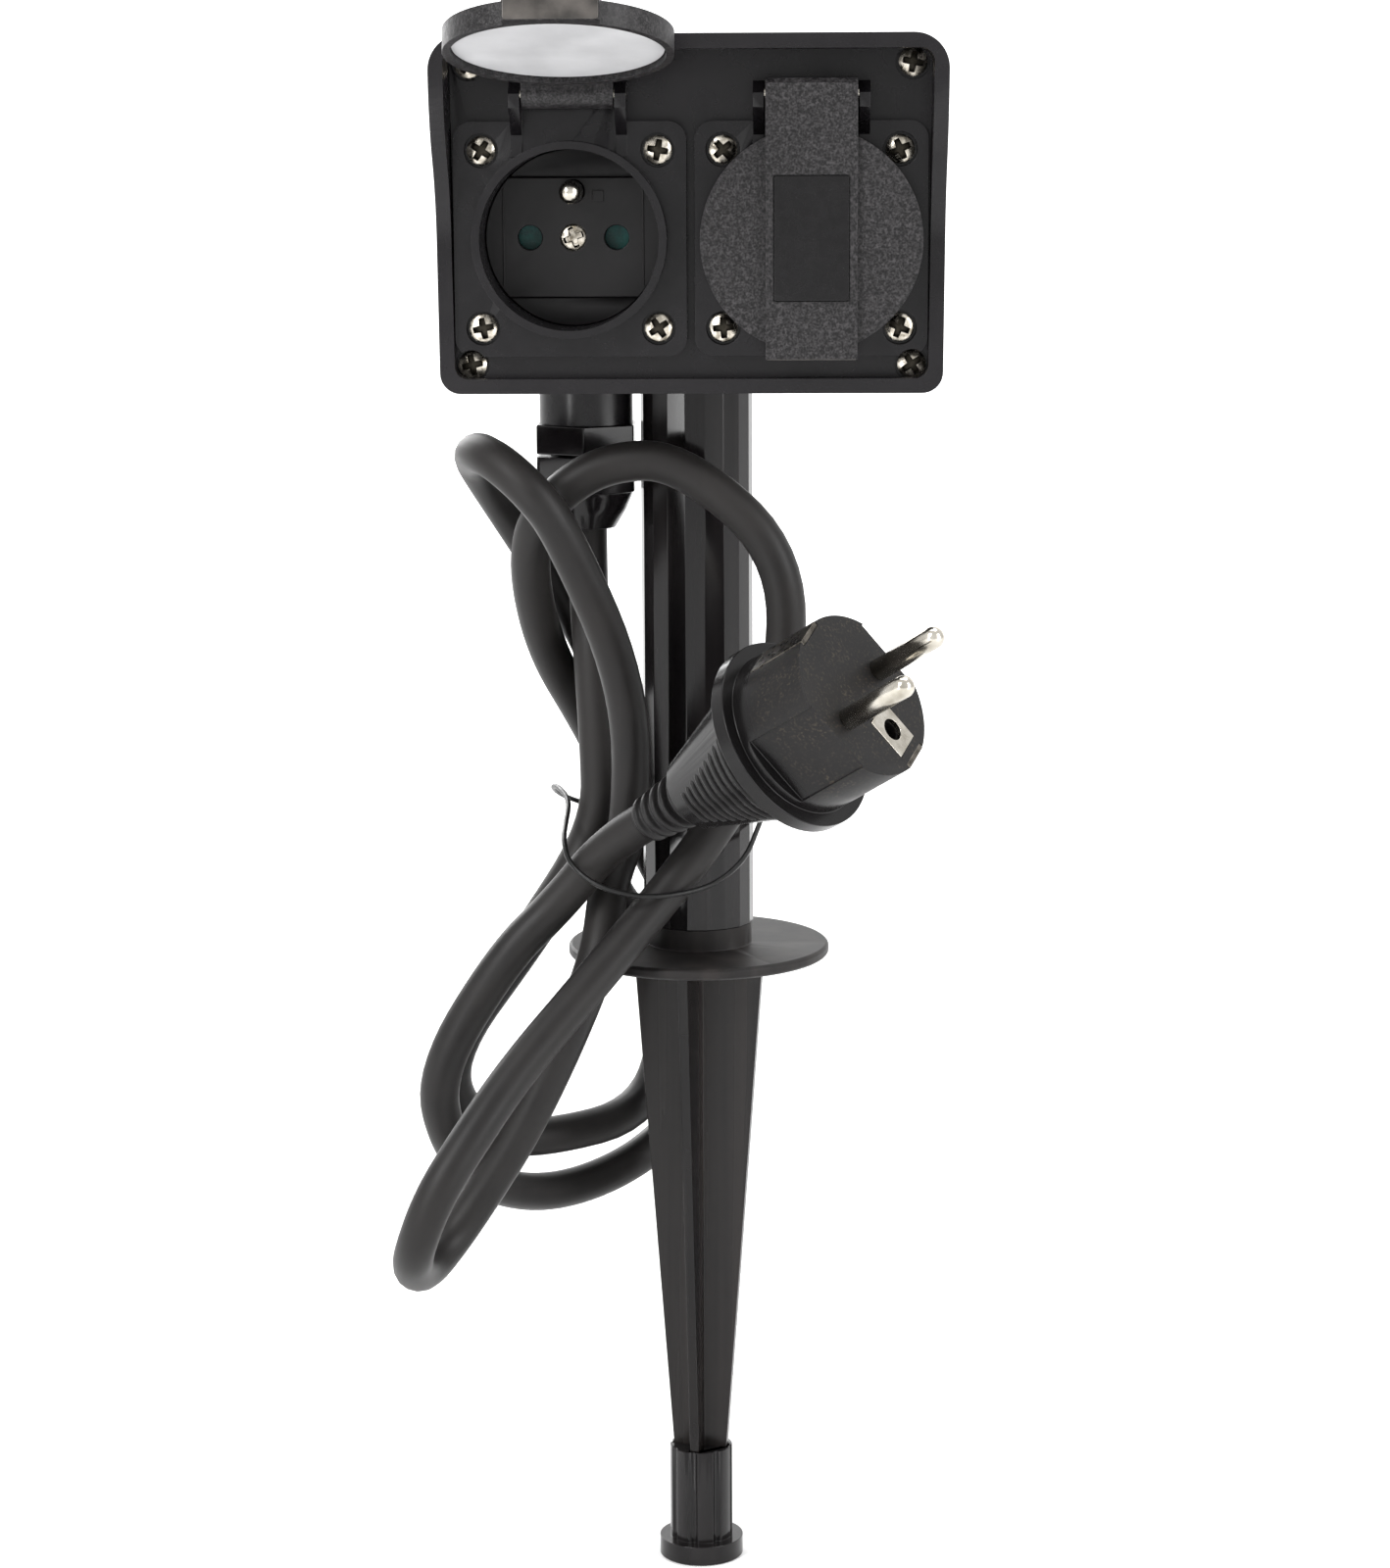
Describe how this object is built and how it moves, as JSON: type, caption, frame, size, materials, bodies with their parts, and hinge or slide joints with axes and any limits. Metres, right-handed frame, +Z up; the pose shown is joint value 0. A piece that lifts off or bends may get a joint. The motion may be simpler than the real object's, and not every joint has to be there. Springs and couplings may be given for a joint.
{
  "type": "garden socket",
  "caption": "Outdoor garden socket on a ground spike, with hinged round lids on both faces of a hooded box and a coiled supply cable with a plug.",
  "frame": {"origin": "centre of the ground-stop disc's underside", "axes": "+Z up along the post, -Y towards the face whose left lid stands open, +X to the right seen from that face"},
  "size_m": [0.1233, 0.1458, 0.364],
  "materials": {
    "box_plastic": "satin",
    "frame_plastic": "satin",
    "lid_plastic": "fine spark-eroded texture",
    "insert_plastic": "matt",
    "shutter_plastic": "satin",
    "gloss_plastic": "glossy",
    "seal_rubber": "matt",
    "gasket_rubber": "matt",
    "screw_steel": "satin",
    "contact_metal": "nickel plated",
    "cable_rubber": "matt",
    "core_insulation": "matt",
    "plug_rubber": "matt",
    "gland_plastic": "satin",
    "tie_plastic": "satin"
  },
  "bodies": {
    "socket_box": {"housing_body": "box_plastic", "hinge_pins": "screw_steel", "centre_screws": "screw_steel", "post_tube": "gloss_plastic", "post_screw": "screw_steel", "ground_spike": "gloss_plastic", "gland_body": "gland_plastic", "gland_nut": "gland_plastic", "gland_seal": "gasket_rubber", "inner_cable": "cable_rubber", "supply_cord": "cable_rubber", "plug_strain_relief": "plug_rubber", "plug_body": "plug_rubber", "plug_pins": "contact_metal", "plug_earth_clips": "contact_metal", "plug_earth_contact": "contact_metal", "wire_tie": "tie_plastic", "front_cover": "box_plastic", "front_gasket": "gasket_rubber", "front_socket_screws": "screw_steel", "front_cover_screws": "screw_steel", "rear_cover": "box_plastic", "rear_gasket": "gasket_rubber", "rear_socket_screws": "screw_steel", "rear_cover_screws": "screw_steel", "socket_frame_front_left": "frame_plastic", "socket_face_front_left": "insert_plastic", "socket_base_front_left": "insert_plastic", "contacts_front_left": "contact_metal", "earth_pin_front_left": "contact_metal", "socket_frame_front_right": "frame_plastic", "socket_face_front_right": "insert_plastic", "socket_base_front_right": "insert_plastic", "contacts_front_right": "contact_metal", "earth_pin_front_right": "contact_metal", "socket_frame_rear_left": "frame_plastic", "socket_face_rear_left": "insert_plastic", "socket_base_rear_left": "insert_plastic", "contacts_rear_left": "contact_metal", "earth_pin_rear_left": "contact_metal", "socket_frame_rear_right": "frame_plastic", "socket_face_rear_right": "insert_plastic", "socket_base_rear_right": "insert_plastic", "contacts_rear_right": "contact_metal", "earth_pin_rear_right": "contact_metal"},
    "lid_front_left": {"lid_front_left": "lid_plastic", "lid_seal_front_left": "seal_rubber"},
    "shutter_front_left": {"shutter_front_left": "shutter_plastic"},
    "lid_front_right": {"lid_front_right": "lid_plastic", "lid_seal_front_right": "seal_rubber"},
    "shutter_front_right": {"shutter_front_right": "shutter_plastic"},
    "lid_rear_left": {"lid_rear_left": "lid_plastic", "lid_seal_rear_left": "seal_rubber"},
    "shutter_rear_left": {"shutter_rear_left": "shutter_plastic"},
    "lid_rear_right": {"lid_rear_right": "lid_plastic", "lid_seal_rear_right": "seal_rubber"},
    "shutter_rear_right": {"shutter_rear_right": "shutter_plastic"},
    "spike_cap": {"spike_tip_cap": "gloss_plastic"}
  },
  "joints": [
    {"name": "lid_hinge_front_left", "type": "hinge", "parent": "socket_box", "child": "lid_front_left", "pos_m": [-0.026, -0.0415, 0.1968], "axis": [-1, 0, 0], "range_deg": [-105, 0]},
    {"name": "lid_hinge_front_right", "type": "hinge", "parent": "socket_box", "child": "lid_front_right", "pos_m": [0.026, -0.0415, 0.1968], "axis": [-1, 0, 0], "range_deg": [0, 105]},
    {"name": "lid_hinge_rear_left", "type": "hinge", "parent": "socket_box", "child": "lid_rear_left", "pos_m": [0.026, 0.0415, 0.1968], "axis": [1, 0, 0], "range_deg": [0, 105]},
    {"name": "lid_hinge_rear_right", "type": "hinge", "parent": "socket_box", "child": "lid_rear_right", "pos_m": [-0.026, 0.0415, 0.1968], "axis": [1, 0, 0], "range_deg": [0, 105]},
    {"name": "shutter_turn_front_left", "type": "hinge", "parent": "socket_box", "child": "shutter_front_left", "pos_m": [-0.026, -0.02, 0.1658], "axis": [0, -1, 0], "range_deg": [0, 38], "stiffness_Nm_per_rad": 0.001},
    {"name": "shutter_turn_front_right", "type": "hinge", "parent": "socket_box", "child": "shutter_front_right", "pos_m": [0.026, -0.02, 0.1658], "axis": [0, -1, 0], "range_deg": [0, 38], "stiffness_Nm_per_rad": 0.001},
    {"name": "shutter_turn_rear_left", "type": "hinge", "parent": "socket_box", "child": "shutter_rear_left", "pos_m": [0.026, 0.02, 0.1658], "axis": [0, 1, 0], "range_deg": [0, 38], "stiffness_Nm_per_rad": 0.001},
    {"name": "shutter_turn_rear_right", "type": "hinge", "parent": "socket_box", "child": "shutter_rear_right", "pos_m": [-0.026, 0.02, 0.1658], "axis": [0, 1, 0], "range_deg": [0, 38], "stiffness_Nm_per_rad": 0.001},
    {"name": "spike_cap_slide", "type": "slide", "parent": "socket_box", "child": "spike_cap", "axis": [0, 0, -1], "range_m": [0, 0.024]}
  ]
}
